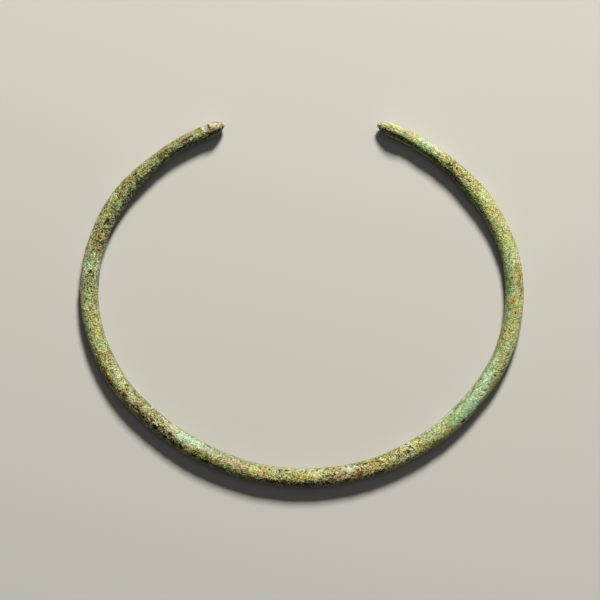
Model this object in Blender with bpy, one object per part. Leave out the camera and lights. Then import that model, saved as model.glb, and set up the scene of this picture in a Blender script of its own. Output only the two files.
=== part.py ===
"""An open bracelet of cast copper alloy, lying flat: an oval hoop of nearly round rod, whose two arms
thin out to small serpent heads that face each other across a gap.

+X runs across the hoop, +Y towards the gap and +Z up. The origin is under the middle of the bracelet's
box, on the surface that it lies on. The sizes below are in millimetres, and angles are in degrees,
clockwise from the middle of the gap as seen from above.
"""

import bpy
import numpy as np

MILLIMETRE = 0.001

# the hoop's middle line: an oval, turned a little, that hand bending has left slightly out of true
OVAL_WIDTH = 65.0
OVAL_DEPTH = 55.94
OVAL_TURN = 2.2
THREE_WAVE_DEPTH = 0.123
THREE_WAVE_CREST = 51.5
FOUR_WAVE_DEPTH = 0.158
FOUR_WAVE_CREST = 0.0

# the gap between the two snouts, and how far its middle lies to the left of the hoop's
GAP = 23.4
GAP_SHIFT = 0.15

# the rod, round but for a narrow flat above and below, and the arms, hammered thinner and a little wider;
# thickness is measured out from the hoop's centre and width along Z
ROD_THICKNESS = 2.92
FLAT_WIDTH = 0.8
ARM_THICKNESS = 2.27
ARM_WIDTH = 3.0
ARM_TAPER_STARTS = 20.5
ARM_TAPER_ENDS = 8.0

# both heads: the crown faces out of the hoop, the jaw into it, and the eyes and mouth are on the sides;
# a share is of the head's length
NECK_THICKNESS = 2.2
NECK_WIDTH = 2.8
JAW_WIDTH = 3.3
SNOUT_WIDTH = 2.3
JAW_SHARE = 0.68
NECK_SHARE = 1.4

# a low collar ends each head, with a groove behind it, and wear has all but taken both from crown and jaw
COLLAR_HEIGHT = 0.08
COLLAR_SPREAD = 0.3
NECK_GROOVE_DEPTH = 0.12
LEFT_BY_WEAR = 0.35

# the eyes and the line of the mouth, placed by distance from the snout and angle from the crown
EYE_AT = 1.15
EYE_ANGLE = 79.0
EYE_HEIGHT = 0.09
EYE_SPREAD = 0.26
MOUTH_SHARE = 0.8
MOUTH_ANGLE = 98.0
MOUTH_SPREAD = 8.0
MOUTH_DEPTH = 0.09

# the right head is whole and the left one worn shorter and thinner
RIGHT_HEAD_LENGTH = 3.9
RIGHT_NOSE_ROUNDING = 1.9
RIGHT_SNOUT_THICKNESS = 1.75
RIGHT_JAW_THICKNESS = 2.2
LEFT_HEAD_LENGTH = 2.4
LEFT_NOSE_ROUNDING = 1.9
LEFT_SNOUT_THICKNESS = 1.5
LEFT_JAW_THICKNESS = 2.06

# how finely the surface is cut, and the turn between two faces that is still shaded as one curve
SIDE_FACETS = 8
NOSE_RINGS = 10
HEAD_STEP = 0.24
ARM_STEP = 1.2
ROD_STEP = 1.9
LINE_POINTS = 6001
SMOOTH_UP_TO = 50.0

COPPER_PATINA = (0.29, 0.30, 0.13, 1.0)
PATINA_ROUGHNESS = 0.8


def clear_scene():
    for old in list(bpy.data.objects):
        bpy.data.objects.remove(old, do_unlink=True)


def hoop_radius(angle):
    """Distance of the middle line from the hoop's centre: a turned oval with two slow waves on it."""
    across = OVAL_WIDTH / 2
    deep = OVAL_DEPTH / 2
    turned = np.radians(angle - OVAL_TURN)
    oval = across * deep / np.hypot(across * np.cos(turned), deep * np.sin(turned))
    three = THREE_WAVE_DEPTH * np.cos(np.radians(3 * (angle - THREE_WAVE_CREST)))
    four = FOUR_WAVE_DEPTH * np.cos(np.radians(4 * (angle - FOUR_WAVE_CREST)))
    return oval + three + four


def hoop_point(angle):
    radius = hoop_radius(angle)
    turn = np.radians(angle)
    return np.stack([radius * np.sin(turn), radius * np.cos(turn)], axis=-1)


def middle_line():
    """The middle line from the right snout round the back to the left one, and the distances along it."""
    front = np.linspace(0.0, 90.0, LINE_POINTS)
    right_angle = np.interp(GAP / 2 - GAP_SHIFT, hoop_point(front)[:, 0], front)
    left_angle = 360.0 - np.interp(GAP / 2 + GAP_SHIFT, -hoop_point(-front)[:, 0], front)
    points = hoop_point(np.linspace(right_angle, left_angle, LINE_POINTS))
    steps = np.linalg.norm(np.diff(points, axis=0), axis=1)
    return points, np.concatenate([[0.0], np.cumsum(steps)])


def eased(place, places, sizes):
    """A size that eases from one named station to the next, level at each."""
    share = np.interp(place, places, np.arange(len(places), dtype=float))
    whole = np.floor(share)
    part = share - whole
    return np.interp(whole + part * part * (3.0 - 2.0 * part), np.arange(len(places)), sizes)


def bump(distance, spread):
    """One at the middle of a rounded bump, and next to nothing two spreads away."""
    return np.exp(-((distance / spread) ** 2))


def ring_places(run, head_length, nose_rounding):
    """Distances from a snout to the middle of the run at which the surface has a ring."""
    around = np.linspace(0.0, np.pi / 2, NOSE_RINGS + 1)[1:]
    groove_end = head_length + 4 * COLLAR_SPREAD
    stretches = [nose_rounding * (1.0 - np.cos(around))]
    for start, end, step in (
        (nose_rounding, groove_end, HEAD_STEP),
        (groove_end, ARM_TAPER_STARTS, ARM_STEP),
        (ARM_TAPER_STARTS, run / 2, ROD_STEP),
    ):
        count = max(2, round((end - start) / step))
        stretches.append(np.linspace(start, end, count + 1)[1:])
    return np.concatenate(stretches)


def section_angles():
    """Angles round the rod, from outwards through up: even facets on both sides, and the flats between."""
    flat = np.degrees(np.arcsin(FLAT_WIDTH / ROD_THICKNESS))
    side = np.linspace(flat - 90.0, 90.0 - flat, SIDE_FACETS + 1)
    return np.concatenate([side, [90.0], side + 180.0, [270.0]])


def flat_level():
    """How far from the rod's middle its flats are, as a share of half its thickness."""
    return np.sqrt(1.0 - (FLAT_WIDTH / ROD_THICKNESS) ** 2)


def section_shape():
    """Sine and cosine round the rod, with the middle of each flat sunk level with the flat's edges."""
    angles = np.radians(section_angles())
    out, up = np.cos(angles), np.sin(angles)
    return out, np.clip(up, -flat_level(), flat_level())


def half_surface(places, head_length, nose_rounding, snout_thickness, jaw_thickness):
    """Half thickness, half width and relief for the half of the bracelet behind one head.

    Both run through the stations snout, jaw, neck, arm and rod, and the width swells at the jaw.
    """
    jaw = JAW_SHARE * head_length
    neck = NECK_SHARE * head_length
    stations = (0.0, jaw, neck, ARM_TAPER_ENDS, ARM_TAPER_STARTS)
    thick = (snout_thickness, jaw_thickness, NECK_THICKNESS, ARM_THICKNESS, ROD_THICKNESS)
    wide = (SNOUT_WIDTH, JAW_WIDTH, NECK_WIDTH, ARM_WIDTH, ROD_THICKNESS)
    nose_left = np.clip(1.0 - places / nose_rounding, 0.0, 1.0)
    nose = np.sqrt(1.0 - nose_left**2)
    collar = COLLAR_HEIGHT * bump(places - head_length, COLLAR_SPREAD)
    groove = NECK_GROOVE_DEPTH * bump(places - head_length - 2 * COLLAR_SPREAD, COLLAR_SPREAD)
    half_thick = nose * eased(places, stations, thick) / 2 + LEFT_BY_WEAR * (collar - groove)
    half_wide = nose * eased(places, stations, wide) / 2 + collar - groove
    around = np.abs((section_angles() + 180.0) % 360.0 - 180.0)
    arc = np.radians(around - EYE_ANGLE) * jaw_thickness / 2
    eye = EYE_HEIGHT * bump(np.hypot((places - EYE_AT)[:, None], arc[None, :]), EYE_SPREAD)
    mouth_end = MOUTH_SHARE * head_length
    mouth_reach = nose * eased(places, (0.0, mouth_end / 2, mouth_end), (1.0, 1.0, 0.0))
    mouth = MOUTH_DEPTH * mouth_reach[:, None] * bump(around - MOUTH_ANGLE, MOUTH_SPREAD)[None, :]
    return half_thick, half_wide, eye - mouth


def bracelet_surface():
    """Rings of points from the right snout to the left one, with the tip of each snout.

    Arms and heads are worn flat beneath, level with the flat under the rod, so that it all lies on one plane.
    """
    line, run = middle_line()
    right_head = (RIGHT_HEAD_LENGTH, RIGHT_NOSE_ROUNDING)
    left_head = (LEFT_HEAD_LENGTH, LEFT_NOSE_ROUNDING)
    right = ring_places(run[-1], *right_head)
    left = ring_places(run[-1], *left_head)
    halves = (
        half_surface(right, *right_head, RIGHT_SNOUT_THICKNESS, RIGHT_JAW_THICKNESS),
        half_surface(left, *left_head, LEFT_SNOUT_THICKNESS, LEFT_JAW_THICKNESS),
    )
    # both halves end on the same ring, which the left one gives up
    thick, wide, relief = (np.concatenate([a, b[-2::-1]]) for a, b in zip(*halves))
    places = np.concatenate([right, run[-1] - left[-2::-1]])
    middle = np.stack([np.interp(places, run, line[:, k]) for k in (0, 1)], axis=-1)
    along = np.stack([np.gradient(np.interp(places, run, line[:, k]), places) for k in (0, 1)], axis=-1)
    along /= np.linalg.norm(along, axis=1)[:, None]
    outwards = np.stack([-along[:, 1], along[:, 0]], axis=-1)
    out, up = section_shape()
    across = (thick[:, None] + relief) * out
    rings = np.empty(across.shape + (3,))
    rings[..., :2] = middle[:, None, :] + outwards[:, None, :] * across[..., None]
    rings[..., 2] = np.maximum((wide[:, None] + relief) * up, -flat_level() * ROD_THICKNESS / 2)
    tips = np.array([[*line[0], 0.0], [*line[-1], 0.0]])
    return rings, tips


def skin_faces(ring_count, side_count):
    """Four-sided faces between neighbouring rings, and a fan of triangles round each tip."""
    ring = np.arange(ring_count - 1)[:, None] * side_count
    here = np.arange(side_count)[None, :]
    there = (here + 1) % side_count
    after_ring = ring + side_count
    quads = np.stack([ring + here, ring + there, after_ring + there, after_ring + here], axis=-1)
    first_tip = ring_count * side_count
    last_ring = (ring_count - 1) * side_count
    side = np.arange(side_count)
    after = (side + 1) % side_count
    first_fan = np.stack([np.full(side_count, first_tip), after, side], axis=-1)
    last_fan = np.stack([np.full(side_count, first_tip + 1), last_ring + side, last_ring + after], axis=-1)
    return quads.reshape(-1, 4).tolist() + first_fan.tolist() + last_fan.tolist()


def patina_material():
    material = bpy.data.materials.new("copper_alloy_patina")
    material.use_nodes = True
    shader = material.node_tree.nodes["Principled BSDF"]
    shader.inputs["Base Color"].default_value = COPPER_PATINA
    shader.inputs["Roughness"].default_value = PATINA_ROUGHNESS
    shader.inputs["Metallic"].default_value = 0.0
    return material


def make_bracelet(collection):
    rings, tips = bracelet_surface()
    points = np.concatenate([rings.reshape(-1, 3), tips])
    low, high = points.min(axis=0), points.max(axis=0)
    points -= np.array([(low[0] + high[0]) / 2, (low[1] + high[1]) / 2, low[2]])
    mesh = bpy.data.meshes.new("bracelet")
    mesh.from_pydata((points * MILLIMETRE).tolist(), [], skin_faces(*rings.shape[:2]))
    mesh.validate()
    mesh.shade_smooth()
    mesh.set_sharp_from_angle(angle=np.radians(SMOOTH_UP_TO))
    mesh.materials.append(patina_material())
    bracelet = bpy.data.objects.new("bracelet", mesh)
    collection.objects.link(bracelet)
    return bracelet


def main():
    clear_scene()
    collection = bpy.data.collections.new("serpent_head_bracelet")
    bpy.context.scene.collection.children.link(collection)
    make_bracelet(collection)


main()
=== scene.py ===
"""The finish of the serpent-head bracelet: a worn surface under a crust of green, ochre and brown corrosion.

One piece, the bracelet itself, is carried along the same middle line and through the same sizes as the solid,
and then gets its grain, pits, eyes, mouths and nostrils as real relief. Sizes are in millimetres until the
mesh is made. A place on the bracelet is its distance along the middle line from the right snout, and its
distance outwards from that line. An angle round the rod goes from outwards, 0, over the top, 90, to inwards.
"""

import bpy
import numpy as np
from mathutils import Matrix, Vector


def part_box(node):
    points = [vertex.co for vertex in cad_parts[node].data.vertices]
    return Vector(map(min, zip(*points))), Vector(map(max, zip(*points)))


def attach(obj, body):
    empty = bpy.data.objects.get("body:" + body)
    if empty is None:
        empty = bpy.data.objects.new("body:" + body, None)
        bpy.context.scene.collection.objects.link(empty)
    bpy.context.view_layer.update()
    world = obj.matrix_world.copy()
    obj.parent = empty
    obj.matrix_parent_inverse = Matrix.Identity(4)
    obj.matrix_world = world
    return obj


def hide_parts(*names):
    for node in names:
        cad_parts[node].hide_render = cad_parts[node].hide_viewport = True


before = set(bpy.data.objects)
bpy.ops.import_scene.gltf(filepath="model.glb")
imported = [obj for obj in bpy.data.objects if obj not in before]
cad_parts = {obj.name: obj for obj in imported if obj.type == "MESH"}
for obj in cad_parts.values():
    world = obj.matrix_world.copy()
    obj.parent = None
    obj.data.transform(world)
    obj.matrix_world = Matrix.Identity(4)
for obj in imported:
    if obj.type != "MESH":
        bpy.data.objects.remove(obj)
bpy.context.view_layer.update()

MILLIMETRE = 0.001

# the hoop's middle line, as the solid has it: a turned oval with two slow waves
OVAL_WIDTH = 65.0
OVAL_DEPTH = 55.94
OVAL_TURN = 2.2
THREE_WAVE_DEPTH = 0.123
THREE_WAVE_CREST = 51.5
FOUR_WAVE_DEPTH = 0.158
FOUR_WAVE_CREST = 0.0
GAP = 23.4
GAP_SHIFT = 0.15
LINE_POINTS = 6001

# the rod, the arms and both heads, as the solid has them
ROD_THICKNESS = 2.92
FLAT_WIDTH = 0.8
ARM_THICKNESS = 2.27
ARM_WIDTH = 3.0
ARM_TAPER_STARTS = 20.5
ARM_TAPER_ENDS = 8.0
NECK_THICKNESS = 2.2
NECK_WIDTH = 2.8
JAW_WIDTH = 3.3
SNOUT_WIDTH = 2.3
JAW_SHARE = 0.68
NECK_SHARE = 1.4

# how suddenly the round of the rod goes over into its flats, as a power of the sine round it
FLATTENING_POWER = 8

# each head: its length, the rounding of its nose, and how thick it is at the snout and the jaw
RIGHT_HEAD = (3.9, 1.9, 1.75, 2.2)
LEFT_HEAD = (2.4, 1.9, 1.5, 2.06)

# the cutting of the heads: collar, groove behind it, eyes, mouth and nostrils, all softened by wear
COLLAR_HEIGHT = 0.08
COLLAR_SPREAD = 0.3
NECK_GROOVE_DEPTH = 0.12
LEFT_BY_WEAR = 0.35
EYE_AT = 1.15
EYE_ANGLE = 79.0
EYE_HEIGHT = 0.08
EYE_RADIUS = 0.3
PUPIL_RADIUS = 0.13
PUPIL_DEPTH = 0.09
MOUTH_SHARE = 0.8
MOUTH_ANGLE = 98.0
MOUTH_SPREAD = 7.0
MOUTH_DEPTH = 0.06
NOSTRIL_AT = 0.42
NOSTRIL_ANGLE = 46.0
NOSTRIL_RADIUS = 0.11
NOSTRIL_DEPTH = 0.05

# the grid of the surface, finest at the heads
COLUMNS = 74
NOSE_RINGS = 16
HEAD_STEP = 0.085
HEAD_STEPS_END = 6.0
ROD_STEP = 0.1285

# where the hand-shaped rod sways off its line: place along, half length, distance outwards
SWAYS = (
    (17.5, 3.2, -0.08), (29.8, 3.0, 0.09), (45.5, 3.0, 0.05), (54.0, 3.4, -0.11), (72.0, 4.0, 0.03),
    (116.0, 2.6, 0.07), (134.0, 2.6, -0.12), (147.4, 2.6, 0.04), (164.0, 2.4, -0.11),
    (1.0, 6.0, -0.05), (11.0, 4.0, -0.04), (152.0, 3.0, -0.06),
)

# shallow worn or eaten hollows that show in the outline: place along, angle round the rod, half length, half
# angle, depth, and a negative depth is a lump
WORN_HOLLOWS = (
    (0.95, 18.0, 0.22, 22.0, -0.13), (2.9, 60.0, 0.9, 13.0, -0.05), (3.0, 96.0, 0.9, 11.0, -0.05),
    (2.7, 78.0, 1.0, 5.0, 0.05), (6.0, 87.0, 0.4, 14.0, -0.05), (14.6, 0.0, 2.4, 45.0, 0.05),
    (3.2, 123.0, 3.6, 14.0, 0.11), (163.0, 123.0, 3.0, 14.0, 0.11), (163.95, 75.0, 0.16, 30.0, 0.06),
    (166.05, 90.0, 0.12, 30.0, 0.05), (166.2, 25.0, 0.25, 40.0, -0.1), (53.0, 180.0, 2.4, 45.0, 0.06),
    (62.0, 180.0, 3.0, 40.0, 0.05), (92.5, 180.0, 2.6, 40.0, 0.06), (140.0, 0.0, 1.6, 40.0, 0.06),
    (52.6, 0.0, 1.6, 40.0, 0.05), (66.6, 0.0, 1.0, 35.0, 0.1), (71.2, 180.0, 3.0, 40.0, 0.11),
    (75.0, 0.0, 2.4, 45.0, 0.06), (114.6, 180.0, 3.0, 40.0, 0.09), (124.0, 180.0, 3.0, 40.0, 0.04),
    (158.4, 180.0, 1.0, 40.0, 0.06),
)

# the unevenness of hammered and corroded metal: size across of the lumps or grains, and their height
HAMMERING = ((7.0, 0.040), (2.6, 0.026))
CRUST = ((0.80, 0.014), (0.44, 0.024), (0.28, 0.036))

# the height at which a grain is a full crest, the most that anything stands up, and how far corrosion has
# eaten the metal back, which sets in between two heights as shares of the rod's half width
GRAIN_HEIGHT = 0.042
HIGHEST_RELIEF = 0.06
EATEN_BACK = 0.05
EATEN_BACK_FROM = (-0.95, -0.6)

# what thick products add to the surface, how much rougher the red oxide makes it, and the share of all relief
# that is left at the tip of a snout, with the distance over which that grows to the whole
RAISED_BY = {"chalk_and_painted_highlights": 0.02, "rose": 0.015, "lemon": 0.012}
ROUGHENED_BY_CUPRITE = 0.4
RELIEF_AT_TIP = 0.3
TIP_LENGTH = 0.25

# marks fade out round the sides between these heights, as shares of the rod's half width, and end at the
# latest so many half lengths plus so many millimetres from their place
SIDE_FADE = (-0.5, 0.0)
MARK_REACH = 2.2
REACH_MARGIN = 0.3

# the lobes of ragged edges: their size across and strength, and the size of those round pits
EDGE_LOBES = ((0.45, 1.0), (0.24, 0.6))
PIT_LOBES = 0.36

# an edge, in half sizes of its mark or pit: where it ends, how wide its slope is, how strong its lobes are
MARK_EDGE = (1.7, 1.3, 0.6)
SMALL_PIT_EDGE = (1.3, 0.9, 0.4)

# a placed pit: its depth at a half width of 1 mm, and the power of the half width that smaller ones follow
PIT_DEPTH = 0.32
PIT_DEPTH_POWER = 0.7

# small pits, scattered by themselves: how many, their radii and strengths, depth as a share of the radius,
# darkness, reach in radii, the size of the crowds they stand in, and where in the noise a crowd starts
SMALL_PITS = 700
SMALL_PIT_RADII = (0.13, 0.26)
SMALL_PIT_STRENGTHS = (0.2, 0.9)
SMALL_PIT_DEPTH = 0.35
SMALL_PIT_DARKNESS = 0.6
SMALL_PIT_REACH = 1.6
PIT_CROWDS = 3.1
CROWD_STARTS = (-0.6, 0.5)

# stray patches, where no mark is placed: how strong their lobes are, how wide their edge is in the noise,
# what is left of them on top, and the heights between which they fade to that
STRAY_LOBES = 0.45
STRAY_EDGE = 0.35
STRAY_ON_TOP = 0.35
STRAY_FADE = (-0.4, 0.0)

# the seed of everything drawn, what each noise adds to it and the step from one product to the next, and how
# many corners a noise's lattice has each way before it repeats
SEED = 4127
HAMMERING_SEED = 10
CRUST_SEED = 20
PIT_LOBES_SEED = 70
PIT_CROWDS_SEED = 71
PRODUCTS_SEED = 100
PRODUCT_SEEDS = 10
LATTICE = 48

# The marks that can be seen from above, each an oval: place along, place outwards, half length, half width
# and strength. A strength above one makes the full part of the mark wider.

# dark pits eaten into the crust
PITS = (
    (1.3, 0.12, 0.16, 0.07, 0.45), (1.6, 0.05, 0.1, 0.06, 0.4), (2.15, 0.66, 0.1, 0.08, 0.5),
    (12.65, -0.05, 0.19, 0.2, 1.0), (13.1, -0.45, 0.2, 0.15, 0.5), (13.15, 0.1, 0.16, 0.16, 0.7),
    (13.92, 0.35, 0.13, 0.24, 0.9), (13.95, 0.4, 0.1, 0.2, 0.8), (14.6, -0.85, 0.3, 0.12, 0.5),
    (16.6, 0.25, 0.26, 0.1, 0.7), (16.7, 0.28, 0.14, 0.12, 0.8), (21.5, -0.42, 0.16, 0.13, 1.0),
    (28.95, 0.3, 0.1, 0.14, 0.5), (33.2, -0.36, 0.14, 0.14, 0.8), (33.3, 0.95, 0.2, 0.12, 0.7),
    (33.85, -0.25, 0.1, 0.14, 0.5), (33.85, 0.78, 0.16, 0.12, 0.5), (35.0, 0.98, 0.3, 0.1, 0.6),
    (35.85, 0.25, 0.1, 0.13, 0.5), (35.9, 0.92, 0.18, 0.12, 0.7), (36.8, -0.2, 0.14, 0.14, 0.8),
    (37.15, -0.58, 0.14, 0.16, 0.7), (38.25, -0.82, 0.16, 0.1, 0.5), (38.6, 0.3, 0.13, 0.13, 0.8),
    (41.2, -0.25, 0.12, 0.14, 0.6), (41.35, 0.18, 0.28, 0.11, 0.6), (41.75, -0.9, 0.15, 0.12, 0.6),
    (44.95, 0.85, 0.15, 0.13, 0.4), (48.55, 0.35, 0.13, 0.22, 0.8), (50.15, -1.08, 0.22, 0.13, 0.7),
    (51.1, 0.52, 0.3, 0.1, 0.6), (51.35, 0.3, 0.1, 0.16, 0.6), (52.3, 0.06, 0.14, 0.14, 0.7),
    (53.35, 1.02, 0.28, 0.11, 0.5), (56.9, 1.1, 0.3, 0.12, 0.8), (57.3, 0.85, 0.2, 0.1, 0.6),
    (57.7, -1.12, 0.14, 0.1, 0.7), (65.75, -0.68, 0.13, 0.16, 0.8), (66.4, -0.05, 0.36, 0.2, 0.8),
    (66.45, -0.35, 0.2, 0.22, 0.8), (66.8, 0.76, 0.24, 0.1, 0.9), (67.3, 1.15, 0.3, 0.12, 0.7),
    (67.45, -0.05, 0.12, 0.1, 0.6), (68.05, -0.05, 0.16, 0.12, 0.9), (68.6, 0.58, 0.26, 0.1, 0.6),
    (69.2, 0.42, 0.3, 0.1, 0.6), (71.5, -0.68, 0.55, 0.1, 0.7), (73.4, -0.92, 0.45, 0.1, 0.9),
    (74.1, -0.4, 0.12, 0.16, 0.7), (74.4, 0.35, 0.28, 0.35, 0.35), (74.55, -1.05, 0.2, 0.11, 0.8),
    (75.65, 0.5, 0.12, 0.1, 0.7), (77.4, -0.95, 0.24, 0.12, 0.6), (78.2, -0.72, 0.2, 0.14, 0.5),
    (78.35, -0.35, 0.17, 0.17, 0.8), (78.7, -0.8, 0.2, 0.14, 0.5), (78.8, 0.0, 0.16, 0.2, 0.7),
    (79.5, -0.12, 0.4, 0.22, 0.7), (81.95, -0.1, 0.12, 0.14, 0.4), (82.95, -0.1, 0.18, 0.1, 0.5),
    (84.1, 0.0, 0.14, 0.12, 0.4), (85.85, -1.06, 0.3, 0.11, 0.8), (86.95, -1.0, 0.12, 0.14, 0.8),
    (88.6, -0.85, 0.24, 0.11, 0.8), (98.9, -0.28, 0.16, 0.1, 0.5), (99.4, 0.3, 0.12, 0.12, 0.6),
    (100.45, 1.05, 0.18, 0.18, 0.7), (102.7, 0.85, 0.28, 0.22, 0.9), (103.35, 0.55, 0.18, 0.14, 0.7),
    (103.9, 1.0, 0.22, 0.2, 0.8), (104.3, 0.04, 0.12, 0.13, 0.7), (104.9, 0.12, 0.35, 0.18, 0.9),
    (105.05, 0.18, 0.28, 0.22, 1.0), (105.5, 0.95, 0.3, 0.2, 0.8), (105.9, 0.45, 0.14, 0.16, 0.6),
    (106.3, -0.38, 0.22, 0.09, 0.6), (106.7, 0.1, 0.22, 0.12, 0.7), (107.4, 0.85, 0.35, 0.2, 1.0),
    (107.55, 0.65, 0.34, 0.2, 1.0), (109.8, 0.72, 0.24, 0.2, 0.8), (111.0, 0.48, 0.24, 0.17, 1.0),
    (111.2, -0.28, 0.2, 0.12, 0.6), (111.2, 0.6, 0.34, 0.16, 0.7), (111.55, 0.16, 0.2, 0.13, 0.9),
    (112.1, 0.66, 0.28, 0.14, 0.7), (113.8, 0.25, 0.2, 0.14, 0.7), (113.95, 0.78, 0.15, 0.17, 0.8),
    (114.2, 0.62, 0.26, 0.2, 0.6), (114.45, 0.36, 0.2, 0.12, 0.7), (114.6, -0.36, 0.2, 0.16, 0.7),
    (114.95, 0.66, 0.16, 0.2, 0.8), (115.0, -0.9, 0.16, 0.12, 0.6), (125.8, -0.16, 0.12, 0.12, 0.7),
    (127.3, 0.95, 0.24, 0.14, 0.8), (129.5, 0.72, 0.14, 0.13, 0.7), (129.85, 0.45, 0.14, 0.1, 0.6),
    (131.0, 0.08, 0.13, 0.16, 0.6), (131.4, 0.25, 0.16, 0.12, 0.8), (131.75, -0.38, 0.14, 0.14, 0.8),
    (132.2, 0.25, 0.28, 0.09, 0.6), (133.75, -0.5, 0.4, 0.12, 0.7), (134.1, 0.1, 0.26, 0.2, 1.0),
    (134.2, 0.05, 0.24, 0.17, 1.0), (137.65, -0.68, 0.13, 0.13, 0.7), (139.0, -0.25, 0.16, 0.1, 0.6),
    (140.75, 0.18, 0.13, 0.13, 0.7), (141.3, -1.02, 0.16, 0.1, 0.6), (142.1, -0.06, 0.6, 0.13, 0.9),
    (142.3, -0.6, 0.2, 0.12, 0.6), (142.6, -0.28, 0.32, 0.12, 0.9), (142.9, -1.0, 0.22, 0.1, 0.8),
    (143.7, -0.98, 0.16, 0.12, 0.7), (143.7, -0.3, 0.13, 0.12, 0.7), (144.4, -0.9, 0.2, 0.1, 0.6),
    (145.3, -1.0, 0.14, 0.12, 0.7), (145.35, 0.1, 0.13, 0.13, 0.4), (146.6, -1.0, 0.16, 0.1, 0.7),
    (147.6, -0.92, 0.16, 0.1, 0.7), (148.4, -0.8, 0.12, 0.12, 0.5), (149.6, -0.85, 0.3, 0.1, 0.7),
    (150.6, 0.3, 0.2, 0.14, 0.6), (150.8, 0.62, 0.2, 0.12, 0.8), (154.95, 0.32, 0.12, 0.1, 0.4),
    (155.3, 0.34, 0.13, 0.1, 0.5), (159.55, 0.1, 0.18, 0.14, 0.7), (160.0, -0.5, 0.2, 0.1, 0.7),
    (160.9, 0.28, 0.5, 0.07, 0.8), (163.95, 0.4, 0.06, 0.3, 0.6), (164.0, 0.85, 0.08, 0.16, 0.7),
    (164.68, -0.04, 0.13, 0.09, 0.7), (165.18, 0.13, 0.12, 0.09, 0.9), (165.5, -0.46, 0.14, 0.1, 0.6),
    (165.9, -0.55, 0.2, 0.1, 0.6), (166.02, -0.05, 0.09, 0.3, 0.7),
)

# black copper oxide in sheltered places, and painted shade along the shaded sides of the heads, arms and back
TENORITE_AND_PAINTED_SHADE = (
    (0.1, -0.35, 0.35, 0.35, 1.0), (0.1, 0.15, 0.2, 0.4, 0.5), (2.6, -0.58, 2.6, 0.26, 1.3),
    (5.8, -0.66, 2.2, 0.26, 1.2), (9.4, -0.74, 2.6, 0.25, 1.0), (13.3, 0.0, 0.9, 0.6, 0.9),
    (14.2, -1.0, 2.2, 0.35, 1.2), (14.6, -0.85, 0.5, 0.25, 1.3), (14.7, -0.75, 0.5, 0.25, 1.2),
    (17.6, -1.15, 2.4, 0.3, 0.7), (22.6, -1.2, 2.4, 0.25, 0.6), (63.1, -0.65, 0.4, 0.25, 0.4),
    (63.5, 1.15, 0.6, 0.2, 0.7), (65.0, -1.05, 0.5, 0.2, 0.5), (66.3, -1.0, 0.4, 0.2, 0.5),
    (66.9, 0.0, 0.5, 0.5, 0.7), (70.4, -1.1, 0.9, 0.2, 0.5), (72.5, 0.95, 1.6, 0.35, 0.9),
    (73.3, -1.1, 0.5, 0.2, 0.5), (75.5, 1.2, 1.4, 0.25, 0.9), (78.9, -0.2, 0.6, 0.5, 0.5),
    (79.8, -0.25, 0.4, 0.3, 0.7), (80.0, 0.75, 4.0, 0.3, 1.25), (82.5, 0.95, 6.0, 0.5, 1.3),
    (86.0, 0.68, 4.0, 0.25, 1.0), (88.0, 0.9, 4.0, 0.4, 1.2), (89.0, -1.15, 0.5, 0.2, 0.5),
    (97.0, 1.1, 4.0, 0.4, 0.95), (104.4, 0.7, 2.6, 0.5, 1.0), (107.6, 0.6, 1.8, 0.6, 1.0),
    (108.8, -1.1, 0.6, 0.25, 0.4), (110.8, -0.5, 0.4, 0.3, 0.5), (110.8, 0.65, 1.6, 0.4, 0.8),
    (111.5, -1.0, 1.4, 0.3, 0.45), (114.6, 0.65, 1.2, 0.45, 0.7), (114.8, -0.75, 0.5, 0.25, 0.4),
    (133.4, 0.05, 1.4, 0.6, 0.5), (142.3, -0.4, 1.5, 0.5, 0.8), (147.0, -1.0, 3.0, 0.35, 0.8),
    (152.0, -0.8, 3.0, 0.35, 1.1), (153.3, 1.05, 0.4, 0.2, 0.5), (156.8, -0.6, 2.6, 0.3, 1.0),
    (161.0, -0.6, 2.2, 0.28, 1.2), (162.9, -0.35, 0.5, 0.2, 0.8), (164.4, -0.6, 1.6, 0.26, 1.3),
    (165.8, -0.65, 0.3, 0.15, 1.2), (165.9, -0.55, 0.2, 0.15, 1.2), (165.9, -0.5, 0.3, 0.18, 0.9),
)

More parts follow.
